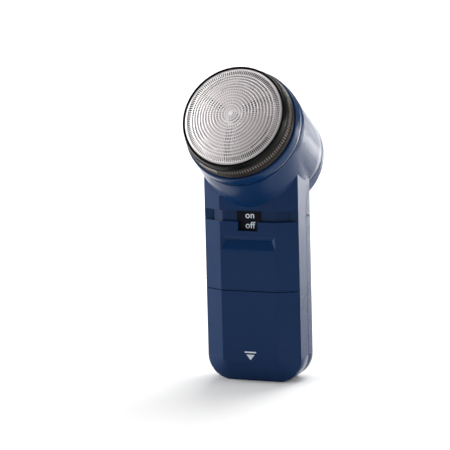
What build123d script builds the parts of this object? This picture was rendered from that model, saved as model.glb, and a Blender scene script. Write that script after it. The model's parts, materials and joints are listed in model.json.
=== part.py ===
"""Battery shaver with one round, domed cutting net on a tilted head, two AA cells side by side in the
grip, a full-width slide switch and a battery cover that slides down.

Frame: millimetres, +Z up the grip, -Y the side with the switch, origin at the middle of the foot.
The head has its own frame: local z points out of the net, local x is the grip's X, and local z = 0 is
the plane of the net's edge, so every head part behind that edge sits at negative local z.
"""

import os
from math import cos, hypot, radians, sin, tan

from build123d import *

# ---------------------------------------------------------------- driving dimensions
CELL_DIAMETER = 14.5
CELL_LENGTH = 50.5
CELL_PITCH = 14.9
CELL_FLOOR = 4.6
CELL_Y = 0.7
CELL_NUB = 1.2

WALL = 1.6
SKIN = 1.4
SEAM_GAP = 0.25

GRIP_WIDTH = 36.0
GRIP_DEPTH = 19.5
GRIP_TOP = 84.0
FOOT_CORNER = 9.0
BACK_ROUND = 4.0
BEVEL_WIDTH = 7.3
BEVEL_DEPTH = 3.95

SIDE_SEAM_Y = 1.9
BACK_SPLIT_Z = 59.6
BACK_SPLIT_GAP = 0.55

COVER_TOP = 33.5
SWITCH_BOTTOM = 33.8
SWITCH_TOP = 58.8
SWITCH_TRAVEL = 3.8
RECESS_TOP = 62.8
RECESS_DEPTH = 1.8
BED_THICKNESS = 0.55
WINDOW_WIDTH = 7.5
WINDOW_HEIGHT = 3.3
GROOVE_PROFILE = ((0, 48.6), (1.0, 52.1), (0.4, 53.0), (0, 53.6))
GROOVE_HALF_WIDTH = 10.35
GROOVE_END_SLOPE = 1.6

HEAD_TILT = 28.5
NET_CENTRE = (0, -21.0, 98.05)
DRUM_FRONT = -12.5
DRUM_BACK = -46.5
DRUM_FRONT_RADIUS = 21.3
DRUM_BACK_RADIUS = 19.8
DRUM_ROUND = 4.8
NECK_LENGTH = 22.0
NECK_DROP = 0.243
HEAD_SEAM = -39.5

NET_RADIUS = 18.1
NET_CROWN = 3.0
NET_SHEET = 0.2
NET_SKIRT = 2.4
FRAME_LENGTH = 7.5
COLLAR_GAP = 0.15

BLADE_COUNT = 3
BLADE_REACH = 15.9
BLADE_CLEARANCE = 0.25
BLADE_FOOT_DROP = 0.9
CARRIER_BACK = -3.4
CARRIER_FRONT = -2.4

PLATE_FRONT = -13.6
PLATE_BACK = -15.6
MOTOR_RADIUS = 10.0
MOTOR_FLAT = 7.6
MOTOR_CAN_LENGTH = 22.5
SHAFT_RADIUS = 1.0
MOTOR_SCREW_X = 6.7
LEAD_HOLE = (4.2, 6.0)
SCREW_REACH = 13.0
SCREW_SEAT = -44.4
DETENT_X = 6.2
DETENT_Z = 41.0
WORD_PLATE_HALF = 4.6
FAR = 30

# ---------------------------------------------------------------- worked-out values
HALF_WIDTH = GRIP_WIDTH / 2
HALF_DEPTH = GRIP_DEPTH / 2
BEVEL_EDGE_Y = -HALF_DEPTH + BEVEL_DEPTH
CELL_RADIUS = CELL_DIAMETER / 2
CELL_X = CELL_PITCH / 2
CELL_TOP = CELL_FLOOR + CELL_LENGTH
BED_FRONT = -HALF_DEPTH + RECESS_DEPTH
BED_BACK = BED_FRONT + BED_THICKNESS
SLIDER_BACK = -HALF_DEPTH + SKIN
MOTOR_BACK = PLATE_BACK - MOTOR_CAN_LENGTH
DOME_RADIUS = (NET_RADIUS**2 + NET_CROWN**2) / (2 * NET_CROWN)
DOME_CENTRE = NET_CROWN - DOME_RADIUS
BLADE_DROP = NET_SHEET + BLADE_CLEARANCE

HEAD_AXIS = Vector(0, -cos(radians(HEAD_TILT)), sin(radians(HEAD_TILT)))
HEAD_UP = Vector(0, sin(radians(HEAD_TILT)), cos(radians(HEAD_TILT)))
HEAD = Plane(origin=NET_CENTRE, x_dir=(1, 0, 0), z_dir=HEAD_AXIS)
SCREW_TURNS = (Rot(0, 0, 90), Rot(0, 0, -90))
parts = {}


# ---------------------------------------------------------------- helpers
def slab(x0, x1, y0, y1, z0, z1):
    """A box given by its two corners."""
    return Pos((x0 + x1) / 2, (y0 + y1) / 2, (z0 + z1) / 2) * Box(x1 - x0, y1 - y0, z1 - z0)


def turned(*corners):
    """A solid of revolution about local z from (radius, z) corners."""
    face = make_face(Plane.XZ * Polyline(*corners, close=True))
    return revolve(face, Axis.Z, 360)


def disc(radius, low, high):
    """A plain disc standing on local z."""
    return Pos(0, 0, (low + high) / 2) * Cylinder(radius, high - low)


def ring(inner, outer, low, high):
    """A plain ring standing on local z."""
    return disc(outer, low, high) - disc(inner, low - 1, high + 1)


def rod_y(radius, x, z, y0, y1):
    """A round bar along Y."""
    return Pos(x, (y0 + y1) / 2, z) * Rot(90, 0, 0) * Cylinder(radius, y1 - y0)


def on_head(shape):
    """Moves a shape from the head's own frame to the shaver's frame."""
    return HEAD.location * shape


def head_point(x, y, z):
    """A point of the head's frame in the shaver's frame."""
    return Vector(*NET_CENTRE) + Vector(x, 0, 0) + HEAD_UP * y + HEAD_AXIS * z


def around(shape, count, start=0.0):
    """Copies of a shape spaced evenly about local z."""
    return [Rot(0, 0, start + k * 360 / count) * shape for k in range(count)]


def both_sides(shape):
    """The shape and its mirror image across the grip's middle plane."""
    return [shape, mirror(shape, Plane.YZ)]


def coil(radius, wire, low, high, turns):
    """A closed helical spring standing on local z."""
    height = high - low - wire
    path = Helix(pitch=height / turns, height=height, radius=radius)
    section = Plane(origin=path @ 0, z_dir=path % 0) * Circle(wire / 2)
    return Pos(0, 0, low + wire / 2) * sweep(section, path, is_frenet=True)


def wire_run(radius, *points):
    """A round lead: straight runs joined by tangent arcs."""
    spans = [(Vector(b) - Vector(a)).length for a, b in zip(points, points[1:])]
    radii = []
    for k in range(1, len(points) - 1):
        arriving = Vector(points[k]) - Vector(points[k - 1])
        turn = arriving.get_angle(Vector(points[k + 1]) - Vector(points[k]))
        radii.append(0.45 * min(spans[k - 1], spans[k]) / tan(radians(turn / 2)))
    path = FilletPolyline(*points, radius=radii)
    return sweep(Plane(origin=path @ 0, z_dir=path % 0) * Circle(radius), path)


def node(name, *shapes):
    """Keeps one or more solids as one named sub-part."""
    parts[name] = shapes


# ---------------------------------------------------------------- outer form
def outline(half_width, floor_z, corner, top_z, y):
    """The grip seen from the front: straight sides with two round corners at the foot."""
    height = top_z - floor_z
    plane = Plane(origin=(0, y, 0), x_dir=(1, 0, 0), z_dir=(0, -1, 0))
    face = plane * Pos(0, floor_z + height / 2) * Rectangle(2 * half_width, height)
    low = face.vertices().sort_by(Axis.Z)[:2]
    return fillet(low, corner)


def grip_block(inset):
    """The grip's form, all faces moved inwards by the inset, with the bevel round its front face."""
    slope = hypot(BEVEL_WIDTH, BEVEL_DEPTH)
    normal_x, normal_y = BEVEL_DEPTH / slope, BEVEL_WIDTH / slope
    side = HALF_WIDTH - inset
    bevel_y = BEVEL_EDGE_Y + normal_y * inset - inset * (1 - normal_x) * BEVEL_DEPTH / BEVEL_WIDTH
    run = (BEVEL_DEPTH - inset * (1 - normal_y)) * BEVEL_WIDTH / BEVEL_DEPTH
    panel = HALF_WIDTH - normal_x * inset - run
    corner = FOOT_CORNER - inset
    base = outline(side, inset, corner, GRIP_TOP, bevel_y)
    top_corner = panel - (HALF_WIDTH - FOOT_CORNER)
    top = outline(panel, HALF_WIDTH - panel, top_corner, GRIP_TOP, -HALF_DEPTH + inset)
    rear = extrude(base, amount=bevel_y - (HALF_DEPTH - inset))
    edges = rear.faces().sort_by(Axis.Y)[-1].edges().filter_by(lambda e: e.center().Z < GRIP_TOP - 1)
    rear = fillet(edges, BACK_ROUND - inset)
    return rear + loft([base, top], ruled=True)


def drum(inset):
    """The head's drum, slightly smaller towards its rounded back."""
    front, back = DRUM_FRONT, DRUM_BACK + inset
    corners = ((0, front), (DRUM_FRONT_RADIUS - inset, front), (DRUM_BACK_RADIUS - inset, back), (0, back))
    body = turned(*corners)
    return fillet(body.edges().sort_by(Axis.Z)[0], DRUM_ROUND - inset)


def neck(inset):
    """The lower front of the head: an oblique cone from the drum's front down to the grip's width."""
    start = DRUM_FRONT - 0.1
    wide = DRUM_FRONT_RADIUS - 0.05
    narrow = HALF_WIDTH - 0.05
    low = -wide - NECK_DROP * NECK_LENGTH + narrow
    front = Pos(0, 0, start) * Circle(wide - inset)
    back = Pos(0, low, start - NECK_LENGTH) * Circle(narrow - inset)
    return loft([front, back], ruled=True)


def rear_region(offset=0.0):
    """Everything behind the parting line: up the grip's side, then square across the head's drum."""
    end = head_point(0, 1.0, HEAD_SEAM)
    far = head_point(0, 45, HEAD_SEAM)
    start = (SIDE_SEAM_Y, BACK_SPLIT_Z)
    with BuildSketch(Plane.YZ) as region:
        with BuildLine():
            Line((SIDE_SEAM_Y, -5), start)
            rise = [(0, 1), (HEAD_UP.Y, HEAD_UP.Z)]
            Spline(start, (2.8, 65.4), (6.4, 71.4), (end.Y, end.Z), tangents=rise)
            Line((end.Y, end.Z), (far.Y, far.Z))
            Line((far.Y, far.Z), (80, far.Z))
            Line((80, far.Z), (80, -5))
            Line((80, -5), (SIDE_SEAM_Y, -5))
        make_face()
    return Pos(0, offset, -offset / 2) * extrude(region.sketch, amount=40, both=True)


GRIP = grip_block(0)
GRIP_INSIDE = grip_block(WALL)
OUTER = on_head(drum(0)) + on_head(neck(0)) + GRIP
INNER = on_head(drum(WALL)) + on_head(neck(WALL)) + GRIP_INSIDE + on_head(disc(17.2, -14, -6))
SHELL = OUTER - INNER - on_head(disc(19.6, -15, -5))


def grip_layer(outside, inside, *limits):
    """The part of the grip between two insets and inside a slab."""
    return (grip_block(outside) - grip_block(inside)) & slab(*limits)


# ---------------------------------------------------------------- shells
def front_housing():
    """Sides, foot, switch bed, neck and the front of the drum, in one moulding."""
    body = SHELL - rear_region() - slab(-FAR, FAR, -FAR, BEVEL_EDGE_Y, -5, RECESS_TOP)
    bed_back = RECESS_DEPTH + BED_THICKNESS
    bed = grip_layer(RECESS_DEPTH, bed_back, -FAR, FAR, -FAR, -4.6, SWITCH_BOTTOM, RECESS_TOP + 1.5)
    head_wall = grip_layer(0, bed_back, -FAR, FAR, -FAR, -4.6, RECESS_TOP, RECESS_TOP + 1.5)
    ledge = slab(15.6, 17.2, BEVEL_EDGE_Y + 0.1, -4.6, SWITCH_BOTTOM, RECESS_TOP + 1.5)
    post = disc(2.4, HEAD_SEAM - 1.7, HEAD_SEAM + 10)
    web = slab(-0.8, 0.8, 2.0, DRUM_BACK_RADIUS - SCREW_REACH - 0.4, HEAD_SEAM, HEAD_SEAM + 10)
    post = Pos(0, SCREW_REACH, 0) * (post + web - disc(0.95, HEAD_SEAM - 3, HEAD_SEAM + 8))
    body = body + bed + head_wall
    for piece in both_sides(ledge) + [on_head(turn * post) for turn in SCREW_TURNS]:
        body += piece
    for rail_slot in both_sides(slab(14.2, 16.4, BEVEL_EDGE_Y - 1, -4.1, -1, SWITCH_BOTTOM)):
        body -= rail_slot
    body -= slab(-1.4, 1.4, -9, -7, 43.6, 50.4)
    body -= rod_y(1.1, DETENT_X, DETENT_Z, -9, -7)
    node("front_housing", body)


def rear_cover():
    """The lower back of the shell, with a lip that tucks under the rear cap."""
    body = (SHELL & rear_region(SEAM_GAP)) & slab(-FAR, FAR, -FAR, 40, -5, BACK_SPLIT_Z)
    lip = grip_layer(WALL, WALL + 0.8, -30, 30, 3.5, 30, BACK_SPLIT_Z - 1.4, BACK_SPLIT_Z + 1.6)
    node("rear_cover", body + lip)


def rear_cap():
    """The upper back of the shell and the rounded back of the drum, with two sunk screw seats."""
    body = (SHELL & rear_region(SEAM_GAP)) & slab(-FAR, FAR, -FAR, 60, BACK_SPLIT_Z + BACK_SPLIT_GAP, 130)
    seat = Pos(0, SCREW_REACH, 0) * disc(3.4, DRUM_BACK + 1, HEAD_SEAM - 1.9)
    hole = disc(1.2, DRUM_BACK - 1, HEAD_SEAM) + disc(2.3, DRUM_BACK - 1, SCREW_SEAT)
    for turn in SCREW_TURNS:
        body += on_head(turn * seat)
        body -= on_head(turn * Pos(0, SCREW_REACH, 0) * hole)
    node("rear_cap", body)


def case_screws():
    """Two identical pan-head screws that hold the rear cap to the front housing."""
    screw = disc(2.0, SCREW_SEAT - 1.4, SCREW_SEAT) + disc(0.95, SCREW_SEAT - 0.1, HEAD_SEAM + 5)
    screw -= slab(-1.3, 1.3, -0.25, 0.25, SCREW_SEAT - 2, SCREW_SEAT - 0.8)
    screw -= slab(-0.25, 0.25, -1.3, 1.3, SCREW_SEAT - 2, SCREW_SEAT - 0.8)
    screws = [on_head(turn * Pos(0, SCREW_REACH, 0) * screw) for turn in SCREW_TURNS]
    node("case_screws", *screws)


def battery_cover():
    """Lower front plate with the bevel round it and two rails that run in the housing."""
    body = grip_layer(0, SKIN, -FAR, FAR, -FAR, BEVEL_EDGE_Y - 0.1, -5, COVER_TOP)
    for rail in both_sides(slab(14.4, 16.2, BEVEL_EDGE_Y - 0.9, -4.3, -5, COVER_TOP)):
        body += rail & GRIP
    node("battery_cover", body)


def finger_groove():
    """A pocket that is deepest just under its upper lip, with sloped ends."""
    low, high = GROOVE_PROFILE[0][1], GROOVE_PROFILE[-1][1]
    section = [(-HALF_DEPTH + depth, z) for depth, z in GROOVE_PROFILE]
    section = [(-HALF_DEPTH - 1, low), *section, (-HALF_DEPTH - 1, high)]
    pocket = extrude(make_face(Plane.YZ * Polyline(*section, close=True)), amount=2 * HALF_WIDTH, both=True)
    faces = []
    for depth in (-1, 1.5):
        plane = Plane(origin=(0, -HALF_DEPTH + depth, (low + high) / 2), x_dir=(1, 0, 0), z_dir=(0, 1, 0))
        faces.append(plane * Rectangle(2 * (GROOVE_HALF_WIDTH - GROOVE_END_SLOPE * depth), 2 * (high - low)))
    return pocket & loft(faces, ruled=True)


def switch_slider():
    """Upper front plate: finger groove, window for the words, and the post that carries the bridge."""
    body = grip_layer(0, SKIN, -FAR, FAR, -FAR, BEVEL_EDGE_Y - 0.1, SWITCH_BOTTOM, SWITCH_TOP)
    window = slab(-WINDOW_WIDTH / 2, WINDOW_WIDTH / 2, -12, -8, SWITCH_TOP - WINDOW_HEIGHT, SWITCH_TOP + 1)
    post = slab(-1.1, 1.1, SLIDER_BACK - 0.3, -7.1, 44.0, 46.0)
    body = body - window - finger_groove() + post
    for z in (DETENT_Z, DETENT_Z - SWITCH_TRAVEL):
        body -= rod_y(1.0, DETENT_X, z, SLIDER_BACK - 0.3, SLIDER_BACK + 1)
    node("switch_slider", body)


def switch_label_plate():
    """Dark plate on the switch bed that carries the two raised words."""
    front = BED_FRONT - 0.22
    plate = slab(-WORD_PLATE_HALF, WORD_PLATE_HALF, front, BED_FRONT, 54.6, RECESS_TOP - 0.1)
    node("switch_label_plate", plate)


# ---------------------------------------------------------------- battery bay
def battery_chassis():
    """An open frame round the two cells: foot plate, two side strips and the roof under the motor bay."""
    foot = slab(-FAR, FAR, -5.0, 8, 0, 2.4) & grip_block(WALL + 0.1)
    roof = slab(-FAR, FAR, -5.6, 8, 57.5, 59.0) & grip_block(WALL + 1.0)
    body = foot + roof
    for strip in both_sides(slab(14.95, 16.2, -3.6, 3.3, 1.8, 59.0) & grip_block(WALL + 0.1)):
        body += strip
    for gusset in both_sides(slab(11.15, 16.2, -3.6, 3.3, 1.8, 9.0) & grip_block(WALL + 0.1)):
        body += gusset
    for x in (-CELL_X, CELL_X):
        body -= Pos(x, CELL_Y, 0) * disc(CELL_RADIUS + 0.15, CELL_FLOOR - 0.1, 20)
    body -= Pos(*LEAD_HOLE, 0) * disc(0.8, 56, 60)
    node("battery_chassis", body)


def battery_cell(name, x, upright):
    """One AA cell; the other way up, its small terminal is at the foot."""
    low = CELL_FLOOR if upright else CELL_FLOOR + CELL_NUB
    cell = disc(CELL_RADIUS, low, low + CELL_LENGTH - CELL_NUB)
    cell = fillet(cell.edges(), 0.5)
    nub_low = CELL_TOP - CELL_NUB if upright else CELL_FLOOR
    cell += disc(2.7, nub_low - (0.1 if upright else 0), nub_low + CELL_NUB + (0 if upright else 0.1))
    node(name, Pos(x, CELL_Y, 0) * cell)


def contacts():
    """The bridge and spring at the foot, and the plate, spring and spring plate under the roof."""
    left = Pos(-CELL_X, CELL_Y, 0)
    right = Pos(CELL_X, CELL_Y, 0)
    bridge = slab(-11, 11, CELL_Y - 4, CELL_Y + 4, 2.4, 2.8)
    node("lower_contact_bridge", bridge + right * disc(3.2, 2.7, CELL_FLOOR))
    node("lower_contact_spring", left * coil(3.4, 0.5, 2.8, CELL_FLOOR, 3))
    tab = slab(-3.2, -2.0, -5.2, -3.2, 57.1, 57.5)
    button = left * disc(2.6, CELL_TOP, 57.2)
    node("upper_contact_plate", slab(-12, -2, -3.3, 4.7, 57.1, 57.5) + tab + button)
    lead_tag = slab(LEAD_HOLE[0] - 0.8, LEAD_HOLE[0] + 0.8, 4.6, LEAD_HOLE[1] + 0.8, 57.1, 57.5)
    node("upper_spring_plate", slab(2, 12, -3.3, 4.7, 57.1, 57.5) + lead_tag)
    node("upper_contact_spring", right * coil(3.4, 0.5, CELL_TOP, 57.1, 3))


# ---------------------------------------------------------------- switch
def switch_works():
    """Bridge on the slider's post, the two fixed strips it wipes, and the detent spring."""
    node("switch_bridge", slab(-3.4, 3.4, -7.1, -6.75, 43.2, 46.8))
    strip = slab(1.9, 3.1, -6.65, -6.35, 47.0, 60.5) + slab(1.9, 3.1, -6.65, -5.2, 60.2, 60.5)
    node("switch_terminal_strips", *both_sides(strip))
    leaf = slab(5.4, 7.0, BED_BACK, BED_BACK + 0.25, 35.5, 45.0)
    bump = rod_y(0.8, DETENT_X, DETENT_Z, -8.2, BED_BACK + 0.1)
    node("switch_detent_spring", leaf + bump)


# ---------------------------------------------------------------- head
def motor_plate():
    """Bulkhead that carries the motor and closes the hair chamber, with a boss round the shaft."""
    plate = disc(18.9, PLATE_BACK, PLATE_FRONT) + disc(4.4, PLATE_FRONT - 0.1, -10.6)
    plate -= disc(1.5, PLATE_BACK - 1, -10)
    plate -= disc(2.8, -12.4, -10)
    plate -= disc(3.1, PLATE_BACK - 1, PLATE_BACK + 1.0)
    for x in (-MOTOR_SCREW_X, MOTOR_SCREW_X):
        plate -= Pos(x, 0, 0) * disc(1.1, PLATE_BACK - 1, 0)
    node("motor_plate", on_head(plate))


def motor_screws():
    """Two identical screws through the plate into the motor's front face."""
    screw = disc(2.0, PLATE_FRONT, PLATE_FRONT + 0.9) + disc(1.0, PLATE_BACK - 0.7, PLATE_FRONT + 0.1)
    screw -= slab(-1.3, 1.3, -0.25, 0.25, PLATE_FRONT + 0.4, PLATE_FRONT + 2)
    node("motor_screws", *[on_head(Pos(x, 0, 0) * screw) for x in (-MOTOR_SCREW_X, MOTOR_SCREW_X)])


def flatted(radius, flat, low, high):
    """A disc with two flats above and below."""
    return disc(radius, low, high) & slab(-FAR, FAR, -flat, flat, low - 1, high + 1)


def motor():
    """Flat-sided permanent-magnet motor: can, magnets, armature on its shaft, end bell and terminals."""
    can = flatted(MOTOR_RADIUS, MOTOR_FLAT, MOTOR_BACK, PLATE_BACK)
    can -= flatted(MOTOR_RADIUS - 0.8, MOTOR_FLAT - 0.8, MOTOR_BACK - 1, PLATE_BACK - 0.8)
    can += disc(3.0, PLATE_BACK - 0.5, PLATE_BACK + 0.9)
    can -= disc(SHAFT_RADIUS + 0.05, PLATE_BACK - 2, PLATE_BACK + 2)
    for x in (-MOTOR_SCREW_X, MOTOR_SCREW_X):
        can -= Pos(x, 0, 0) * disc(1.0, PLATE_BACK - 2, PLATE_BACK + 1)
    node("motor_can", on_head(can))
    magnet = ring(7.1, MOTOR_RADIUS - 0.9, MOTOR_BACK + 3, PLATE_BACK - 4)
    magnet &= slab(5.0, FAR, -5, 5, -60, 0)
    node("motor_magnets", *[on_head(piece) for piece in both_sides(magnet)])
    armature = disc(3.0, MOTOR_BACK + 3, PLATE_BACK - 3)
    for pole in around(slab(0, 6.3, -1.4, 1.4, MOTOR_BACK + 4, PLATE_BACK - 4), 3, 90):
        armature += pole
    shoe_blank = ring(5.2, 6.3, MOTOR_BACK + 4, PLATE_BACK - 4) & slab(0, 9, -3.6, 3.6, -60, 0)
    for shoe in around(shoe_blank, 3, 90):
        armature += shoe
    armature -= disc(SHAFT_RADIUS, -60, 0)
    node("motor_armature", on_head(armature))
    bell = flatted(MOTOR_RADIUS - 0.85, MOTOR_FLAT - 0.85, MOTOR_BACK, MOTOR_BACK + 1.5)
    bell += flatted(MOTOR_RADIUS, MOTOR_FLAT, MOTOR_BACK - 2.0, MOTOR_BACK)
    bell -= disc(SHAFT_RADIUS + 0.05, MOTOR_BACK - 0.8, 0)
    node("motor_end_bell", on_head(bell))
    pin = slab(5.0, 7.4, -0.25, 0.25, MOTOR_BACK - 4.0, MOTOR_BACK - 2.0)
    node("motor_terminals", *[on_head(piece) for piece in both_sides(pin)])
    node("motor_shaft", on_head(disc(SHAFT_RADIUS, MOTOR_BACK - 0.7, -5.0)))


def shaft_seal():
    """Felt ring in the boss that keeps hair out of the motor bay."""
    node("shaft_seal", on_head(ring(SHAFT_RADIUS + 0.08, 2.8, -12.4, -11.0)))


def rotor():
    """Coupler pressed on the shaft, spring, three-armed carrier, three blades and the clip on top."""
    coupler = disc(4.2, -10.2, -9.4) + disc(2.0, -9.5, -0.4)
    coupler -= disc(SHAFT_RADIUS, -11, -5.0)
    coupler -= ring(1.55, 3, -1.3, -0.9)
    node("drive_coupler", on_head(coupler))
    node("rotor_spring", on_head(coil(2.75, 0.5, -9.4, -6.4, 4)))
    carrier = disc(4.4, -6.4, -1.5) + disc(15.5, CARRIER_BACK, CARRIER_FRONT)
    carrier += ring(14.2, 15.5, CARRIER_BACK - 0.8, CARRIER_FRONT)
    carrier -= disc(2.05, -7, 0)
    inner_slot = ring(12.4, 13.3, -5, -2) & wedge(38, 96)
    outer_slot = ring(14.4, 15.0, -5, -2) & wedge(20, 62)
    for hole in around(inner_slot, BLADE_COUNT, 30) + around(outer_slot, BLADE_COUNT, 30):
        carrier -= hole
    for arm in around(slab(3.9, 15.3, -1.1, 1.1, CARRIER_FRONT - 0.1, -0.9), BLADE_COUNT, 30):
        carrier += arm & dome_ball(BLADE_DROP + BLADE_FOOT_DROP)
    for pocket in around(blade_blank(0.27), BLADE_COUNT, 30):
        carrier -= pocket
    node("rotor_carrier", on_head(carrier))
    foot = slab(4.9, 15.2, -1.2, 1.2, -2, 4) & dome_ball(BLADE_DROP + BLADE_FOOT_DROP - 0.35)
    foot -= dome_ball(BLADE_DROP + BLADE_FOOT_DROP)
    blade = (blade_blank(0.25) & dome_ball(BLADE_DROP)) + foot
    node("rotor_blades", *[on_head(piece) for piece in around(blade, BLADE_COUNT, 30)])
    node("rotor_clip", on_head(ring(1.6, 3.2, -1.3, -0.95)))


def wedge(start, end):
    """A pie slice about local z between two angles, in degrees."""
    reach = 40
    corners = [(0, 0)]
    for k in range(5):
        turn = radians(start + (end - start) * k / 4)
        corners.append((reach * cos(turn), reach * sin(turn)))
    return extrude(make_face(Polyline(*corners, close=True)), amount=30, both=True)


def dome_ball(depth):
    """The ball under the net's dome, lowered by a depth."""
    return Pos(0, 0, DOME_CENTRE) * Sphere(DOME_RADIUS - depth)


def blade_blank(half):
    """A thin upright blade, slightly swept, taller than the dome."""
    sweep_radius = 26.0
    bow = Pos(10.0, -sweep_radius, 0) * ring(sweep_radius - half, sweep_radius + half, -2.3, 6)
    return bow & slab(4.9, FAR, -6, 6, -3, 7) & disc(BLADE_REACH, -3, 7)


def net():
    """Foil with its skirt, the frame that grips it and the retainer that holds it in from behind."""
    skirt = ring(NET_RADIUS - NET_SHEET, NET_RADIUS, -NET_SKIRT, 0.05)
    dome = dome_ball(0) - dome_ball(NET_SHEET)
    dome &= disc(NET_RADIUS, 0, 6)
    node("net_foil", on_head(dome + skirt))
    inner = NET_RADIUS + 0.03
    frame = turned(
        (inner, -4.0), (inner, 0), (18.35, 0.25), (18.75, 0.25), (19.0, 0),
        (19.4, -2.3), (19.25, -2.45), (19.25, -2.6), (19.6, -2.75),
        (20.0, -5.0), (19.8, -5.15), (19.8, -5.3), (20.05, -5.4),
        (20.25, -FRAME_LENGTH), (18.6, -FRAME_LENGTH), (18.6, -4.0),
    )
    node("net_frame", on_head(frame))
    retainer = ring(16.5, 17.85, -4.2, -0.6) + ring(16.5, 18.1, -4.2, -NET_SKIRT - 0.05)
    node("net_retainer", on_head(retainer))


def head_collar():
    """Blue ring between the net frame and the drum, with the spigot that the net frame snaps on."""
    lip = -FRAME_LENGTH - COLLAR_GAP
    collar = turned(
        (17.1, -4.5), (18.2, -4.5), (18.2, lip - 0.6), (20.1, lip - 0.6), (20.1, lip), (20.6, lip),
        (20.95, lip - 0.4), (21.3, DRUM_FRONT + 0.45), (19.45, DRUM_FRONT + 0.45), (19.45, PLATE_BACK),
        (19.0, PLATE_BACK), (19.0, DRUM_FRONT + 0.2), (17.1, DRUM_FRONT + 0.2),
    )
    node("head_collar", on_head(collar))


def motor_leads():
    """Two leads: from one motor tag to the switch strip, from the other to the spring plate."""
    feet = (("motor_lead_red", -1, (-2.5, -4.6, 61.1)), ("motor_lead_black", 1, (*LEAD_HOLE, 57.7)))
    for name, side, foot in feet:
        top = head_point(side * 6.2, -0.75, MOTOR_BACK - 3.2)
        low = head_point(side * 6.6, -12.5, MOTOR_BACK - 3.2)
        bend = Vector(foot) + Vector(side * 1.2, 0, 6.5)
        node(name, wire_run(0.5, top, low, bend, foot))


front_housing()
rear_cover()
rear_cap()
case_screws()
battery_cover()
switch_slider()
switch_label_plate()
battery_chassis()
battery_cell("battery_cell_left", -CELL_X, True)
battery_cell("battery_cell_right", CELL_X, False)
contacts()
switch_works()
motor_plate()
motor_screws()
motor()
shaft_seal()
rotor()
net()
head_collar()
motor_leads()

os.makedirs("parts", exist_ok=True)
for name, shapes in parts.items():
    whole = shapes[0] if len(shapes) == 1 else Compound(children=[s.solid() or s for s in shapes])
    export_step(whole, f"parts/{name}.step")
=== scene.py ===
# %% [markdown]
# # A pocket shaver with a round net
#
# A small battery shaver stands on a pale floor. Its grip is a navy slab that holds two AA cells,
# and its tilted head carries a domed metal net in a black ring. The engineering model arrives as a
# frame of separate parts. This lesson dresses that frame: it gives every part its finish, and it
# builds the pieces whose looks need real geometry or print. These are the pierced net, the knurled
# ring, the words beside the switch and the arrow on the battery cover.

import bpy
import json
import math
from mathutils import Matrix, Vector


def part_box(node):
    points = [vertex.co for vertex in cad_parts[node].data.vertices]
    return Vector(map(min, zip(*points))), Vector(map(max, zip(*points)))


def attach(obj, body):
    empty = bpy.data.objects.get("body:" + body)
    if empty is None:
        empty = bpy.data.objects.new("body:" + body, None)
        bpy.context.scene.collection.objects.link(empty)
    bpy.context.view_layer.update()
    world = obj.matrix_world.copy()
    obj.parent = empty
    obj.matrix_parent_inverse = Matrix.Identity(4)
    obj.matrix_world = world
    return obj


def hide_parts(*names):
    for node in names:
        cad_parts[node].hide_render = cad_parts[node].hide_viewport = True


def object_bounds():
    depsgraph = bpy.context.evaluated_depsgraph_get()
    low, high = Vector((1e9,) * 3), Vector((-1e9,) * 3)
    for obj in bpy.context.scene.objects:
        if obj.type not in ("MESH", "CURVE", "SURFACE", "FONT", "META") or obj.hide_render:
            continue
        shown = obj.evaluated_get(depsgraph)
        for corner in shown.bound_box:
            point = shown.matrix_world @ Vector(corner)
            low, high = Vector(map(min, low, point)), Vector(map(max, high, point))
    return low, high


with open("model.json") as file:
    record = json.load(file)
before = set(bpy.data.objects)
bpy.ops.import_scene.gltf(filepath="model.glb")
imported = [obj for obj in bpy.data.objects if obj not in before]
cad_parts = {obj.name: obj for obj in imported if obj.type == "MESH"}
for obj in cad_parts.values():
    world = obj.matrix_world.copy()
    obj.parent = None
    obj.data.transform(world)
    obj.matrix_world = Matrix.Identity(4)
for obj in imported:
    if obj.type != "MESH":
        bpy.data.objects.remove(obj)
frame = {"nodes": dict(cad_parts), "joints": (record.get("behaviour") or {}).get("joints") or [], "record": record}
cad_low, cad_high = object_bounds()
MM = 0.001
print("frame", len(frame["nodes"]), "parts, box", cad_low, cad_high)

# %% [markdown]
# ## Where the head is
#
# Everything round on the head turns about one tilted axis, the axis of the spinning rotor. The
# frame already knows it, as a joint with a point and a direction. From these two a small matrix is
# built once. After that, head pieces are drawn upright about their own z axis, in millimetres, and
# the matrix carries them into place. This is easier to read than tilting every piece by hand.

# %% The head's own axes
spin = next(joint for joint in frame["joints"] if joint["name"] == "rotor_spin")
head_out = Vector(spin["axis"]).normalized()
head_side = Vector((1, 0, 0))
head_up = head_out.cross(head_side)
head_centre = Vector(spin["pos_m"])
HEAD = Matrix((head_side, head_up, head_out)).transposed().to_4x4()
HEAD.translation = head_centre
HEAD = HEAD @ Matrix.Scale(MM, 4)
print("head axis", head_out)

# %% [markdown]
# ## The camera
#
# A product picture like this one is taken from far away with a long lens, so the slab's edges stay
# nearly parallel. The camera stands a little to the right of the switch side and a little above it,
# and it is turned a degree or so about its own axis. It aims slightly beside the shaver, which sits
# right of the middle of the frame.

# %% Place the camera
CAMERA_AZIMUTH = math.radians(21.29)
CAMERA_ELEVATION = math.radians(9.18)
CAMERA_ROLL = math.radians(1.43)
CAMERA_DISTANCE = 0.9
CAMERA_LENS = 199.4
LOOK_AT = Vector((0, 0, 0.055))
AIM_SIDE = -0.01172
AIM_RISE = 0.00115
NEAREST_SHOWN = 0.05


def camera_axes(back):
    """The camera's right and up for a direction that points from its target to it."""
    level = Vector((0, 0, 1)).cross(back).normalized()
    rise = back.cross(level)
    right = level * math.cos(CAMERA_ROLL) - rise * math.sin(CAMERA_ROLL)
    up = level * math.sin(CAMERA_ROLL) + rise * math.cos(CAMERA_ROLL)
    return right, up


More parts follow.
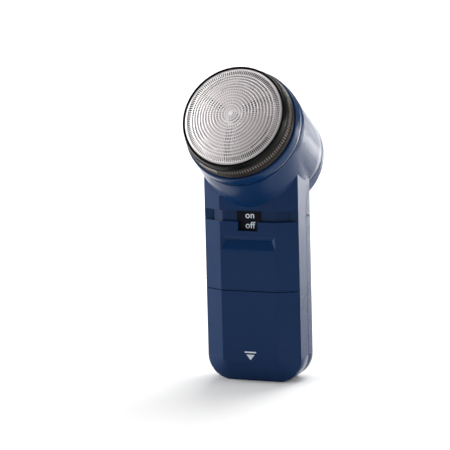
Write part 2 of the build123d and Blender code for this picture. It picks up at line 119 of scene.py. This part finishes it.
def place_camera():
    """Makes the camera at the picture's viewing angle."""
    flat = math.cos(CAMERA_ELEVATION)
    back = Vector((
        math.sin(CAMERA_AZIMUTH) * flat,
        -math.cos(CAMERA_AZIMUTH) * flat,
        math.sin(CAMERA_ELEVATION),
    ))
    right, up = camera_axes(back)
    place = LOOK_AT + back * CAMERA_DISTANCE
    target = LOOK_AT + right * AIM_SIDE + up * AIM_RISE
    back = (place - target).normalized()
    right, up = camera_axes(back)
    camera = bpy.data.objects.new("camera", bpy.data.cameras.new("camera"))
    bpy.context.scene.collection.objects.link(camera)
    camera.data.lens = CAMERA_LENS
    turned = Matrix((right, up, back)).transposed().to_4x4()
    camera.matrix_world = Matrix.Translation(place) @ turned
    camera.data.clip_start = NEAREST_SHOWN
    bpy.context.scene.camera = camera
    return camera


print("camera at", place_camera().matrix_world.translation)

# %% [markdown]
# ## Shader maths that reads like maths
#
# Blender builds a material from nodes. A pattern such as 0.2 + 0.1 * noise would take three nodes
# and four links by hand. The class below wraps one output socket and gives it the usual operators,
# so the same pattern is written as one line of Python. A second class is a finish: it owns one
# material, it adds every other kind of node through one method, and it sets plain numbers directly
# on the shader's own sockets.

# %% The socket wrapper
class Wire:
    """One output socket with arithmetic."""

    def __init__(self, finish, socket):
        self.finish = finish
        self.socket = socket

    def __add__(self, other):
        return self.finish.maths("ADD", self, other)

    def __radd__(self, other):
        return self.finish.maths("ADD", other, self)

    def __sub__(self, other):
        return self.finish.maths("SUBTRACT", self, other)

    def __rsub__(self, other):
        return self.finish.maths("SUBTRACT", other, self)

    def __mul__(self, other):
        return self.finish.maths("MULTIPLY", self, other)

    def __rmul__(self, other):
        return self.finish.maths("MULTIPLY", other, self)

    def __gt__(self, other):
        return self.finish.maths("GREATER_THAN", self, other)

    def __lt__(self, other):
        return self.finish.maths("LESS_THAN", self, other)


# %% The finish
class Finish:
    """One material with a Principled shader."""

    def __init__(self, name, **plain):
        self.material = bpy.data.materials.new(name)
        self.material.use_nodes = True
        self.tree = self.material.node_tree
        self.shader = self.tree.nodes["Principled BSDF"]
        self.set(**plain)

    def plug(self, socket, value):
        """Links a wire into a socket, or sets the socket's own value."""
        if isinstance(value, Wire):
            self.tree.links.new(value.socket, socket)
        elif socket.type == "RGBA":
            socket.default_value = (*value[:3], 1.0)
        else:
            socket.default_value = value

    def node(self, kind, settings=None, output=0, **sockets):
        """Adds a node: its settings first, then its sockets by name or, as _0 and _1, by place."""
        made = self.tree.nodes.new("ShaderNode" + kind)
        for key, value in (settings or {}).items():
            setattr(made, key, value)
        for key, value in sockets.items():
            place = int(key[1:]) if key[0] == "_" else key.replace("_", " ")
            self.plug(made.inputs[place], value)
        return Wire(self, made.outputs[output])

    def set(self, **sockets):
        """Sets or links the shader's own sockets."""
        for key, value in sockets.items():
            self.plug(self.shader.inputs[key.replace("_", " ")], value)

    def maths(self, operation, first, second=0.0):
        """One sum, product, comparison or function of wires and numbers."""
        return self.node("Math", {"operation": operation}, _0=first, _1=second)

    def vector_maths(self, operation, first, second, output=0):
        """The same for vectors; the second output is a single number."""
        return self.node("VectorMath", {"operation": operation}, output, _0=first, _1=second)

    def mix(self, factor, low, high):
        """A colour between two; the node keeps its colour sockets in places 6, 7 and 2."""
        return self.node("Mix", {"data_type": "RGBA"}, output=2, _0=factor, _6=low, _7=high)

    def place(self):
        """The surface point in the object's own metres."""
        return self.node("TexCoord", output="Object")

    def noise(self, scale, detail=2.0, vector=None):
        """Soft random values about 0.5; the scale counts waves in a metre."""
        vector = vector or self.place()
        return self.node("TexNoise", output="Fac", Vector=vector, Scale=scale, Detail=detail)

    def stretched(self, x, y, z):
        """The surface point with each axis scaled, for grain that runs one way."""
        return self.vector_maths("MULTIPLY", self.place(), (x, y, z))

    def tint(self, colour, amount, factor):
        """A colour that goes from darker to lighter by an amount as the factor goes from 0 to 1."""
        dark = tuple(c * (1 - amount) for c in colour)
        light = tuple(min(1, c * (1 + amount)) for c in colour)
        return self.mix(factor, dark, light)

    def bump(self, height, depth):
        """Feeds a height pattern to the shader's normal; the depth is in metres."""
        self.set(Normal=self.node("Bump", Height=height, Distance=depth, Strength=1.0))


# %% [markdown]
# ## Moulded plastic
#
# The shell is glossy plastic from a polished mould. Up close such a surface isn't perfect: it has a
# faint waviness from shrinkage, hair-thin rubbing marks, and a colour that drifts a little. Three
# noises give this. A wide one drifts the colour, a long stretched one changes the roughness like
# rubbing marks do, and a fine one is a bump a few thousandths of a millimetre high. How strongly
# the plastic mirrors the room is set apart from that, by the index of refraction, called gloss
# here. Deep colours look washed out under a strong mirror, so the dark plastics have a low one.

# %% A plastic finish
CLOUD_WAVES = 55
RUB_WAVES = 300
RUB_STRETCH = (1, 1, 0.12)
RUB_SPREAD = 0.12
RUB_MIDDLE = 0.45


def plastic(name, colour, roughness, drift=0.06, texture=0.000004, grain=900, gloss=1.47):
    """Moulded plastic: drifting colour, rubbed roughness and a slight orange peel."""
    made = Finish(name, IOR=gloss)
    made.set(Base_Color=made.tint(colour, drift, made.noise(CLOUD_WAVES, 3)))
    rubbed = made.noise(RUB_WAVES, 3, made.stretched(*RUB_STRETCH))
    made.set(Roughness=roughness + RUB_SPREAD * (rubbed - RUB_MIDDLE))
    made.bump(made.noise(grain, 2), texture)
    return made.material


NAVY = (0.0034, 0.024, 0.084)
navy = plastic("navy_plastic", NAVY, 0.16, gloss=1.22)
black_gloss = plastic("black_plastic", (0.003, 0.003, 0.003), 0.2, gloss=1.13)
black_base = plastic("black_base_plastic", (0.014, 0.010, 0.008), 0.36, gloss=1.25)
# A lighter black for the knurl's rib tops: a painted highlight.
rib_highlight_black = plastic("rib_highlight_plastic", (0.17, 0.15, 0.13), 0.4, drift=0.25, gloss=1.3)
label_black = plastic(
    "label_plastic", (0.002, 0.003, 0.008), 0.45, texture=0.000008, grain=2500, gloss=1.2
)
white_plastic = plastic("white_plastic", (0.78, 0.74, 0.73), 0.42)
grey_plastic = plastic("grey_plastic", (0.10, 0.105, 0.115), 0.45)
ink = plastic("pale_ink", (0.62, 0.70, 0.78), 0.45, drift=0.03, texture=0.000002)
print("plastics ready")

# %% [markdown]
# ## Metals
#
# The metals differ in how they were made. The net is nickel grown on a form, so it is bright, with
# a soft sheen. Springs and screws are plated, and cans are dull zinc. The blades stand in the shade
# under the net, and are nearly black. One function covers them all: the metal's colour, a roughness
# that a noise spreads out, and fine lines along one axis whose depth is set for each.

# %% A metal finish
METAL_DRIFT = 0.06
METAL_CLOUD_WAVES = 140
STREAK_WAVES = 1400
STREAK_MIDDLE = 0.5


def metal(name, colour, roughness, spread=0.12, lines=(1, 1, 1), depth=0.000002):
    """Metal: full metallic, uneven roughness and fine drawn or ground lines."""
    made = Finish(name, Metallic=1.0)
    made.set(Base_Color=made.tint(colour, METAL_DRIFT, made.noise(METAL_CLOUD_WAVES, 3)))
    streaks = made.noise(STREAK_WAVES, 3, made.stretched(*lines))
    made.set(Roughness=roughness + spread * (streaks - STREAK_MIDDLE))
    made.bump(streaks, depth)
    return made.material


foil_metal = metal("foil_steel", (0.81, 0.765, 0.775), 0.42, spread=0.10, depth=0.000001)
spring_metal = metal("spring_steel", (0.62, 0.63, 0.65), 0.25)
blade_metal = metal("blade_steel", (0.02, 0.012, 0.012), 0.5, lines=(1, 0.08, 1))
nickel = metal("nickel_contact", (0.75, 0.74, 0.72), 0.2, lines=(0.1, 1, 1))
brass = metal("brass_contact", (0.80, 0.60, 0.28), 0.24, lines=(1, 1, 0.1))
motor_metal = metal("motor_steel", (0.50, 0.51, 0.53), 0.35, lines=(1, 0.15, 0.15))
screw_metal = metal("screw_steel", (0.55, 0.56, 0.58), 0.28)
copper = metal("armature_copper", (0.62, 0.28, 0.14), 0.3, lines=(0.1, 1, 1), depth=0.00001)
print("metals ready")

# %% [markdown]
# ## The odd ones: magnets, felt and cell jackets
#
# Ferrite magnets are grey and gritty. Felt scatters light, so it gets a strong, fine bump. A cell
# is steel at both ends and wears a printed film between them, in two plain tones. Where the film
# stops is a question of height, so its mask compares the surface point's z with two limits.

# %% Ferrite, felt and cells
BARE_STEEL = (0.6, 0.6, 0.6)
FILM_GREEN = (0.02, 0.13, 0.10)
FILM_GOLD = (0.45, 0.30, 0.10)
GOLD_FROM = 0.7
FILM_FROM_BOTTOM = 1.4 * MM
FILM_FROM_TOP = 1.7 * MM
magnet_black = plastic("magnet", (0.035, 0.035, 0.038), 0.7, texture=0.00003, grain=3500)
felt = plastic("felt", (0.55, 0.50, 0.42), 0.95, drift=0.15, texture=0.0001, grain=3000)
cell_low, cell_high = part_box("battery_cell_left")


def cell_jacket():
    """Two-tone film between bare steel ends."""
    made = Finish("cell_jacket")
    height = made.node("SeparateXYZ", output="Z", Vector=made.place())
    green = made.tint(FILM_GREEN, 0.1, made.noise(200, 2))
    gold = made.tint(FILM_GOLD, 0.1, made.noise(200, 2))
    film = made.mix(height > cell_low.z + GOLD_FROM * (cell_high.z - cell_low.z), green, gold)
    above = height > cell_low.z + FILM_FROM_BOTTOM
    below = height < cell_high.z - FILM_FROM_TOP
    ends = 1 - above * below
    made.set(Base_Color=made.mix(ends, film, BARE_STEEL), Metallic=ends)
    made.set(Roughness=0.2 + 0.1 * made.noise(900, 2))
    return made.material


# %% [markdown]
# ## The cutter's carrier
#
# The blades stand on a pale three-armed disc, and it is seen through the net's holes. Between its
# arms it has curved slots that open into the dark chamber below, and the disc is painted dark over
# them, a painted shade. The finish finds a point's place on the disc with two dot products, then
# its radius and its angle about the axis. Taking the angle modulo a third of a turn gives all three
# slots of a row at once. Each row below has an inner and an outer radius in millimetres, and the
# angle at which its first slot starts and how far it runs.

# %% A carrier with painted shade over its slots
SLOT_ROWS = ((13.9, 15.3, 48, 46), (12.0, 13.7, 66, 60))
SLOTS_IN_ROW = 3
CARRIER_PALE = (0.44, 0.35, 0.34)
# The dark colour over the slot arcs is a painted shade.
CARRIER_SLOT_SHADE = (0.03, 0.015, 0.013)


def carrier_finish():
    """Pale plastic, with painted shade in two rows of three arcs."""
    made = Finish("carrier_plastic", IOR=1.4, Roughness=0.5)
    from_axis = made.vector_maths("SUBTRACT", made.place(), head_centre)
    across = made.vector_maths("DOT_PRODUCT", from_axis, head_side, output=1)
    rise = made.vector_maths("DOT_PRODUCT", from_axis, head_up, output=1)
    radius = made.maths("SQRT", across * across + rise * rise)
    angle = made.maths("ARCTAN2", rise, across)
    dark = 0.0
    for inner, outer, start, length in SLOT_ROWS:
        positive = angle + math.radians(2 * 360 - start)
        folded = made.maths("MODULO", positive, math.radians(360 / SLOTS_IN_ROW))
        row = (radius > inner * MM) * (radius < outer * MM) * (folded < math.radians(length))
        dark = made.maths("MAXIMUM", dark, row)
    pale = made.tint(CARRIER_PALE, 0.06, made.noise(300, 3))
    # Over the slot arcs the disc gets the painted shade.
    made.set(Base_Color=made.mix(dark, pale, CARRIER_SLOT_SHADE))
    made.bump(made.noise(1500, 2), 0.000008)
    return made.material


# %% [markdown]
# ## Dressing the frame's own parts
#
# The record names a material slot for every part. A dictionary from slot to finish dresses all of
# them in one loop, and the carrier then gets its own. The shells also get two modifiers. The model
# arrives with its corners split for shading, so a weld joins them, and then a bevel rounds each
# sharp edge by a tenth or two of a millimetre. Moulded edges are never perfectly sharp, and that
# thin round is what catches the light.

# %% Finishes for every slot
FINISHES = {
    "navy_plastic": navy,
    "black_plastic": black_gloss,
    "label_black": label_black,
    "foil_steel": foil_metal,
    "spring_steel": spring_metal,
    "blade_steel": blade_metal,
    "nickel_contact": nickel,
    "brass_contact": brass,
    "white_plastic": white_plastic,
    "grey_plastic": grey_plastic,
    "motor_steel": motor_metal,
    "magnet": magnet_black,
    "armature_copper": copper,
    "screw_steel": screw_metal,
    "felt": felt,
    "cell_jacket": cell_jacket(),
    "lead_red": plastic("lead_red", (0.42, 0.02, 0.02), 0.45),
    "lead_black": plastic("lead_black", (0.015, 0.015, 0.015), 0.45),
}
SOFT_EDGES = {
    "front_housing": 0.14,
    "rear_cover": 0.14,
    "rear_cap": 0.14,
    "head_collar": 0.10,
    "battery_cover": 0.22,
    "switch_slider": 0.24,
}
SPLIT_REACH = 0.002
SHARP_FROM = 24
ROUND_STEPS = 2


def dress(part, finish):
    """Gives one of the frame's parts its finish, on every face."""
    part.data.materials.clear()
    part.data.materials.append(finish)
    for face in part.data.polygons:
        face.material_index = 0


def round_edges(part, width):
    """Joins the split corners and rounds the sharp edges."""
    weld = part.modifiers.new("join", "WELD")
    weld.merge_threshold = SPLIT_REACH * MM
    bevel = part.modifiers.new("round", "BEVEL")
    bevel.limit_method = "ANGLE"
    bevel.angle_limit = math.radians(SHARP_FROM)
    bevel.width = width * MM
    bevel.segments = ROUND_STEPS
    bevel.harden_normals = True


for entry in frame["record"]["subparts"]:
    dress(frame["nodes"][entry["node"]], FINISHES[entry["material_slot"]])
dress(frame["nodes"]["rotor_carrier"], carrier_finish())
for node, width in SOFT_EDGES.items():
    round_edges(frame["nodes"][node], width)
print("dressed", len(frame["nodes"]), "parts, rounded", len(SOFT_EDGES))

# %% [markdown]
# ## From points to pieces
#
# The pieces below are all computed surfaces, so they share one helper. It takes points in
# millimetres and faces as point numbers, puts the mesh in place with a matrix, hangs it on a body
# of the frame and gives it its finish.

# %% One helper for every new piece
def piece(name, points, faces, matrix, body, finish):
    """Makes a smooth-shaded mesh piece that rides on a body."""
    mesh = bpy.data.meshes.new(name)
    mesh.from_pydata([tuple(point) for point in points], [], faces)
    mesh.transform(matrix)
    mesh.update()
    mesh.materials.append(finish)
    mesh.shade_smooth()
    made = bpy.data.objects.new(name, mesh)
    bpy.context.scene.collection.objects.link(made)
    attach(made, body)
    print(name, len(mesh.vertices), "points", len(mesh.polygons), "faces")
    return made


# %% [markdown]
# ## The pierced net
#
# The net is a thin dome. Short holes stand in rings about a millimetre apart, and a band of radial
# slits runs round the rim. The holes must be real, because the rotor shows through them. A Boolean
# cut with more than a thousand holes would be slow and ragged. Instead the dome is drawn as a polar
# grid of cells, and each cell is a small frame of eight faces round its own opening. Towards the
# middle the columns would crowd together, so their number halves three times on the way in. The
# corners of all cells are counted in one fine angular unit, so neighbours share their points
# exactly. All lengths are in millimetres, and each share is the part of a cell that is open.

# %% The net's layout
NET_RADIUS = 18.1
NET_CROWN = 3.0
NET_SKIRT = 2.4
UNITS = 576
HOLE_ROWS = [0.8, 1.5, 2.2, 3.3, 4.4, 5.5, 6.6, 7.7, 8.8, 9.9, 11.0, 12.1, 13.2, 14.3, 15.4]
COLUMN_COUNTS = {2.1: 18, 5.4: 36, 9.8: 72, 15.5: 144}
SLITS = 144
SLIT_ROW = (15.4, 17.5)
RIM_RADIUS = 17.9
MIDDLE_RADIUS = 0.4
MIDDLE_SIDES = 36
NET_THICKNESS = 0.14
DOME_RADIUS = (NET_RADIUS**2 + NET_CROWN**2) / (2 * NET_CROWN)
HOLE_LENGTH_SHARE = 0.72
HOLE_WIDTH_SHARE = 0.75
SLIT_LENGTH_SHARE = 0.88
SLIT_WIDTH_SHARE = 0.68
CELL_CORNERS = ((-1, -1), (0, -1), (1, -1), (1, 0), (1, 1), (0, 1), (-1, 1), (-1, 0))
CORNER_PULL = 0.86


def dome_height(radius):
    """Height of the net above its rim plane at a distance from the middle."""
    return math.sqrt(DOME_RADIUS**2 - radius**2) - DOME_RADIUS + NET_CROWN


class NetMesh:
    """Collects the net's points once each, by radius and angle, and its faces."""

    def __init__(self):
        self.points = []
        self.faces = []
        self.known = {}

    def point(self, radius, unit, height=None):
        """The number of the point at this radius and angle, made if it is new."""
        key = (round(radius, 4), round(unit % UNITS, 4), height)
        if key not in self.known:
            turn = 2 * math.pi * unit / UNITS
            rise = dome_height(radius) if height is None else height
            self.known[key] = len(self.points)
            self.points.append((radius * math.cos(turn), radius * math.sin(turn), rise))
        return self.known[key]

    def cell(self, inner, outer, start, width, extra, length_share, width_share):
        """One opening between two radii, with eight faces round it.

        Where the next row out has twice the columns, extra adds the points that it needs.
        """
        middle = (inner + outer) / 2
        half_r = (outer - inner) / 2
        centre = start + width / 2
        half_u = width / 2
        rim = [self.point(middle + half_r * r, centre + half_u * u) for r, u in CELL_CORNERS]
        hole = []
        for r, u in CELL_CORNERS:
            pull = CORNER_PULL if r and u else 1.0
            radius = middle + half_r * r * length_share * pull
            hole.append(self.point(radius, centre + half_u * u * width_share * pull))
        for k in range(8):
            n = (k + 1) % 8
            between = []
            if extra and k in (2, 3):
                between = [self.point(outer, centre + half_u * (-0.5 if k == 2 else 0.5))]
            self.faces.append((rim[k], *between, rim[n], hole[n], hole[k]))

    def band(self, inner, outer, count, outer_height=None):
        """A plain strip between two radii; its outer edge may leave the dome."""
        step = UNITS / count
        for k in range(count):
            a, b = k * step, (k + 1) * step
            self.faces.append((
                self.point(inner, a),
                self.point(outer, a, outer_height),
                self.point(outer, b, outer_height),
                self.point(inner, b),
            ))


# %% Draw the net
def columns_at(radius):
    """How many columns of holes the net has at a radius."""
    return next(count for limit, count in COLUMN_COUNTS.items() if radius < limit)


def pierced_net():
    """The dome with its rings of holes, its slits, its plain rim and its skirt."""
    net = NetMesh()
    rows = list(zip(HOLE_ROWS, HOLE_ROWS[1:]))
    counts = [columns_at((inner + outer) / 2) for inner, outer in rows] + [SLITS]
    for (inner, outer), count, beyond in zip(rows, counts, counts[1:]):
        width = UNITS / count
        finer = beyond > count
        for k in range(count):
            net.cell(inner, outer, k * width, width, finer, HOLE_LENGTH_SHARE, HOLE_WIDTH_SHARE)
    width = UNITS / SLITS
    for k in range(SLITS):
        net.cell(*SLIT_ROW, k * width, width, False, SLIT_LENGTH_SHARE, SLIT_WIDTH_SHARE)
    middle = net.point(0, 0)
    step = UNITS // MIDDLE_SIDES
    for k in range(MIDDLE_SIDES):
        here = net.point(MIDDLE_RADIUS, k * step)
        there = net.point(MIDDLE_RADIUS, (k + 1) * step)
        net.faces.append((middle, here, there))
    net.band(MIDDLE_RADIUS, HOLE_ROWS[0], MIDDLE_SIDES)
    net.band(SLIT_ROW[1], RIM_RADIUS, SLITS * 2)
    net.band(RIM_RADIUS, NET_RADIUS, SLITS * 2)
    net.band(NET_RADIUS, NET_RADIUS, SLITS * 2, -NET_SKIRT)
    return net


net = pierced_net()
net_sheet = piece("net_sheet", net.points, net.faces, HEAD, "net", foil_metal)
thick = net_sheet.modifiers.new("sheet", "SOLIDIFY")
thick.thickness = NET_THICKNESS * MM
thick.offset = -1
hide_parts("net_foil")

# %% [markdown]
# ## The ring round the net
#
# The black ring is turned like a jar lid: a polished lip, a knurled band for the fingers, and a
# plain base. Its outline is a list of radius and height pairs, swept round the head's axis. The
# ribs are part of the sweep: in the knurled band each point moves outwards by a rib's profile,
# which repeats around the ring. One smooth pad interrupts the ribs, where the real lid has its
# mark. The tops of the ribs catch the light, so every face that stands out far enough from the
# band's root gets a lighter black, a painted highlight. The rest of the band and the base are
# duller than the lip.

# %% Sweep the ring
RIBS = 128
RIB_PROFILE = (0.0, 0.0, 0.0, 0.6, 1.0, 1.0, 0.6, 0.0)
RIB_HEIGHT = 0.36
PAD_CENTRE = 246
PAD_HALF = 11
RING_OUTLINE = (
    (18.13, -4.0), (18.13, 0.0), (18.2, 0.16), (18.35, 0.25), (18.6, 0.25), (18.82, 0.16),
    (18.95, 0.0), (19.02, -0.4), (19.2, -1.3), (19.36, -2.15), (19.34, -2.3), (19.22, -2.4),
    (19.2, -2.5), (19.22, -2.6), (19.36, -2.72), (19.42, -3.0), (19.74, -4.7), (19.74, -4.92),
    (19.66, -5.05), (19.66, -5.2), (19.82, -5.3), (19.95, -5.45), (20.22, -7.2), (20.2, -7.42),
    (20.1, -7.5), (18.6, -7.5), (18.6, -4.0),
)
RIBBED = (-4.8, -2.9)
ROOT_TOP = (19.42, -3.0)
ROOT_FLARE = 0.188
PAD_SHARE = 0.8
LIT_TOP_SHARE = 0.6
GLOSS_ABOVE = -2.35
RING_SHARP_FROM = 35
LIP, BASE, LIT_RIB_TOPS = 0, 1, 2


def rib_lift(step, z):
    """How far the knurl stands out at one angular step and height."""
    if not RIBBED[0] <= z <= RIBBED[1]:
        return 0.0
    degrees = 360 * step / (RIBS * len(RIB_PROFILE))
    if abs(degrees - PAD_CENTRE) < PAD_HALF:
        return RIB_HEIGHT * PAD_SHARE
    return RIB_HEIGHT * RIB_PROFILE[step % len(RIB_PROFILE)]


def stands_out(point):
    """True for a point on a rib's top, which gets the painted highlight."""
    root = ROOT_TOP[0] + ROOT_FLARE * (ROOT_TOP[1] - point.z)
    return math.hypot(point.x, point.y) > root + LIT_TOP_SHARE * RIB_HEIGHT


def swept_ring(outline, steps, lift):
    """Points and faces of an outline swept once round z, closed on itself."""
    points = []
    faces = []
    count = len(outline)
    for step in range(steps):
        turn = 2 * math.pi * step / steps
        for radius, z in outline:
            reach = radius + lift(step, z)
            points.append((reach * math.cos(turn), reach * math.sin(turn), z))
    for step in range(steps):
        here, there = step * count, (step + 1) % steps * count
        for k in range(count):
            n = (k + 1) % count
            faces.append((here + k, there + k, there + n, here + n))
    return points, faces


ring_points, ring_faces = swept_ring(RING_OUTLINE, RIBS * len(RIB_PROFILE), rib_lift)
ring = piece("net_ring", ring_points, ring_faces, HEAD, "net", black_gloss)
ring.data.materials.append(black_base)
ring.data.materials.append(rib_highlight_black)
to_head = HEAD.inverted()
for face in ring.data.polygons:
    middle = to_head @ face.center
    if middle.z > GLOSS_ABOVE:
        face.material_index = LIP
    # Faces on the rib tops get the painted highlight.
    elif RIBBED[0] < middle.z < RIBBED[1] and stands_out(middle):
        face.material_index = LIT_RIB_TOPS
    else:
        face.material_index = BASE
ring.data.set_sharp_from_angle(angle=math.radians(RING_SHARP_FROM))
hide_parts("net_frame")

# %% [markdown]
# ## The words by the switch
#
# Two plain words stand on the dark plate behind the slider's window. The window shows the lower
# word when the shaver is off. When the slider moves up, the window shows the upper one. They are
# text turned to mesh, a few hundredths of a millimetre thick, like pad printing seen very close.

# %% Print the words
label_low, label_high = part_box("switch_label_plate")
WORD_SIZE = 3.3 * MM
WORD_SPACING = 1.04
WORD_SWELL = 0.05 * MM
WORD_X = 0.4 * MM
ON_BASELINE = 60.0 * MM
OFF_BASELINE = 56.35 * MM
PRINT_DEPTH = 0.04 * MM


def word(text, name, baseline):
    """One printed word on the label plate, its baseline at a height."""
    curve = bpy.data.curves.new(name, "FONT")
    curve.body = text
    curve.size = WORD_SIZE
    curve.align_x = "CENTER"
    curve.extrude = PRINT_DEPTH / 2
    curve.space_character = WORD_SPACING
    curve.offset = WORD_SWELL
    written = bpy.data.objects.new(name + "_curve", curve)
    bpy.context.scene.collection.objects.link(written)
    bpy.context.view_layer.update()
    graph = bpy.context.evaluated_depsgraph_get()
    mesh = bpy.data.meshes.new_from_object(written.evaluated_get(graph))
    bpy.data.objects.remove(written)
    upright = Matrix.Rotation(math.pi / 2, 4, "X")
    place = Matrix.Translation((WORD_X, label_low.y - PRINT_DEPTH / 2, baseline))
    mesh.transform(place @ upright)
    mesh.name = name
    mesh.materials.clear()
    mesh.materials.append(ink)
    made = bpy.data.objects.new(name, mesh)
    bpy.context.scene.collection.objects.link(made)
    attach(made, "housing")
    print(name, len(mesh.polygons), "faces")


word("on", "word_on", ON_BASELINE)
word("off", "word_off", OFF_BASELINE)

# %% [markdown]
# ## The mark on the battery cover
#
# Battery covers carry a small plain arrow that tells which way they slide. It is printed in the
# same pale ink: a bar with a triangle under it, each a thin raised plate.

# %% Print the arrow
cover_low, cover_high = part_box("battery_cover")
ARROW_Z = 11.0
BAR = ((-2.2, ARROW_Z), (2.2, ARROW_Z), (2.2, ARROW_Z + 0.5), (-2.2, ARROW_Z + 0.5))
TRIANGLE = ((-1.6, ARROW_Z - 0.6), (0, ARROW_Z - 2.6), (1.6, ARROW_Z - 0.6))


def plate(name, outline):
    """A thin printed shape on the cover's front; its outline is in millimetres, x and z."""
    depth = PRINT_DEPTH / MM
    front = cover_low.y / MM
    count = len(outline)
    points = [(x, front - depth, z) for x, z in outline] + [(x, front, z) for x, z in outline]
    faces = [tuple(range(count)), tuple(range(2 * count - 1, count - 1, -1))]
    for k in range(count):
        n = (k + 1) % count
        faces.append((k, k + count, n + count, n))
    made = piece(name, points, faces, Matrix.Scale(MM, 4), "cover", ink)
    for face in made.data.polygons:
        face.use_smooth = False


plate("cover_arrow_bar", BAR)
plate("cover_arrow_head", TRIANGLE)

# %% [markdown]
# ## Floor and light
#
# The floor is a wide pale disc, so that every view has the same plain ground. It lies a hair below
# the foot, so that the two never share a plane.

# %% Floor
FLOOR_RADIUS = 5.0
FLOOR_SIDES = 128
FLOOR_GAP = 0.02 * MM
floor_z = cad_low.z - FLOOR_GAP
turns = [2 * math.pi * k / FLOOR_SIDES for k in range(FLOOR_SIDES)]
rim = [(FLOOR_RADIUS * math.cos(t), FLOOR_RADIUS * math.sin(t), floor_z) for t in turns]
floor_mesh = bpy.data.meshes.new("floor")
floor_mesh.from_pydata(rim, [], [tuple(range(FLOOR_SIDES))])
floor = bpy.data.objects.new("floor", floor_mesh)
bpy.context.scene.collection.objects.link(floor)
floor_paint = plastic("floor_paint", (0.86, 0.86, 0.86), 0.6, drift=0.01, texture=0.00001)
floor_mesh.materials.append(floor_paint)
print("floor at", floor_z)

# %% [markdown]
# ## Seven soft panels
#
# Glossy navy plastic shows mostly what it reflects: the front should mirror something dim, and the
# right side something bright. So the room itself is nearly dark, and square panels do the lighting.
# One on the left, low and wide, picks out the left bevel, and a weak one in front of the head opens
# up the net. One on the right and one above shape the head's drum. A narrow patch of light falls on
# the floor just behind the shaver, where the right side mirrors it. The back and far panels point
# down, and they light the floor behind the shaver to a plain white.


# %% Lights
def panel(name, place, size, power, target=(0, 0, 0.06), spread=180):
    """A square soft light that faces a target; a spread below 180 narrows its beam."""
    light = bpy.data.lights.new(name, "AREA")
    light.size = size
    light.energy = power
    light.spread = math.radians(spread)
    made = bpy.data.objects.new(name, light)
    bpy.context.scene.collection.objects.link(made)
    made.location = place
    made.rotation_mode = "QUATERNION"
    made.rotation_quaternion = (Vector(place) - Vector(target)).to_track_quat("Z", "Y")


panel("left_panel", (-1.5, -0.15, 0.45), 1.0, 27)
panel("net_panel", (-0.5, -0.9, 1.1), 0.8, 3)
panel("right_panel", (1.3, 0.2, 0.6), 0.8, 8)
panel("top_panel", (0.0, 0.3, 1.5), 1.0, 8)
panel("patch_panel", (0.35, 0.6, 1.1), 0.4, 7, target=(0.35, 0.6, 0), spread=55)
panel("back_panel", (0.7, 1.7, 1.2), 1.4, 26, target=(0.3, 1.7, 0))
panel("far_panel", (0.0, 2.8, 1.4), 2.0, 90, target=(0, 2.8, 0))
ROOM_LIGHT = 0.2
room = bpy.data.worlds.new("room")
bpy.context.scene.world = room
room.use_nodes = True
background = room.node_tree.nodes["Background"]
background.inputs["Color"].default_value = (1, 1, 1, 1)
background.inputs["Strength"].default_value = ROOM_LIGHT
bpy.context.scene.view_settings.view_transform = "Standard"
print("lights ready")
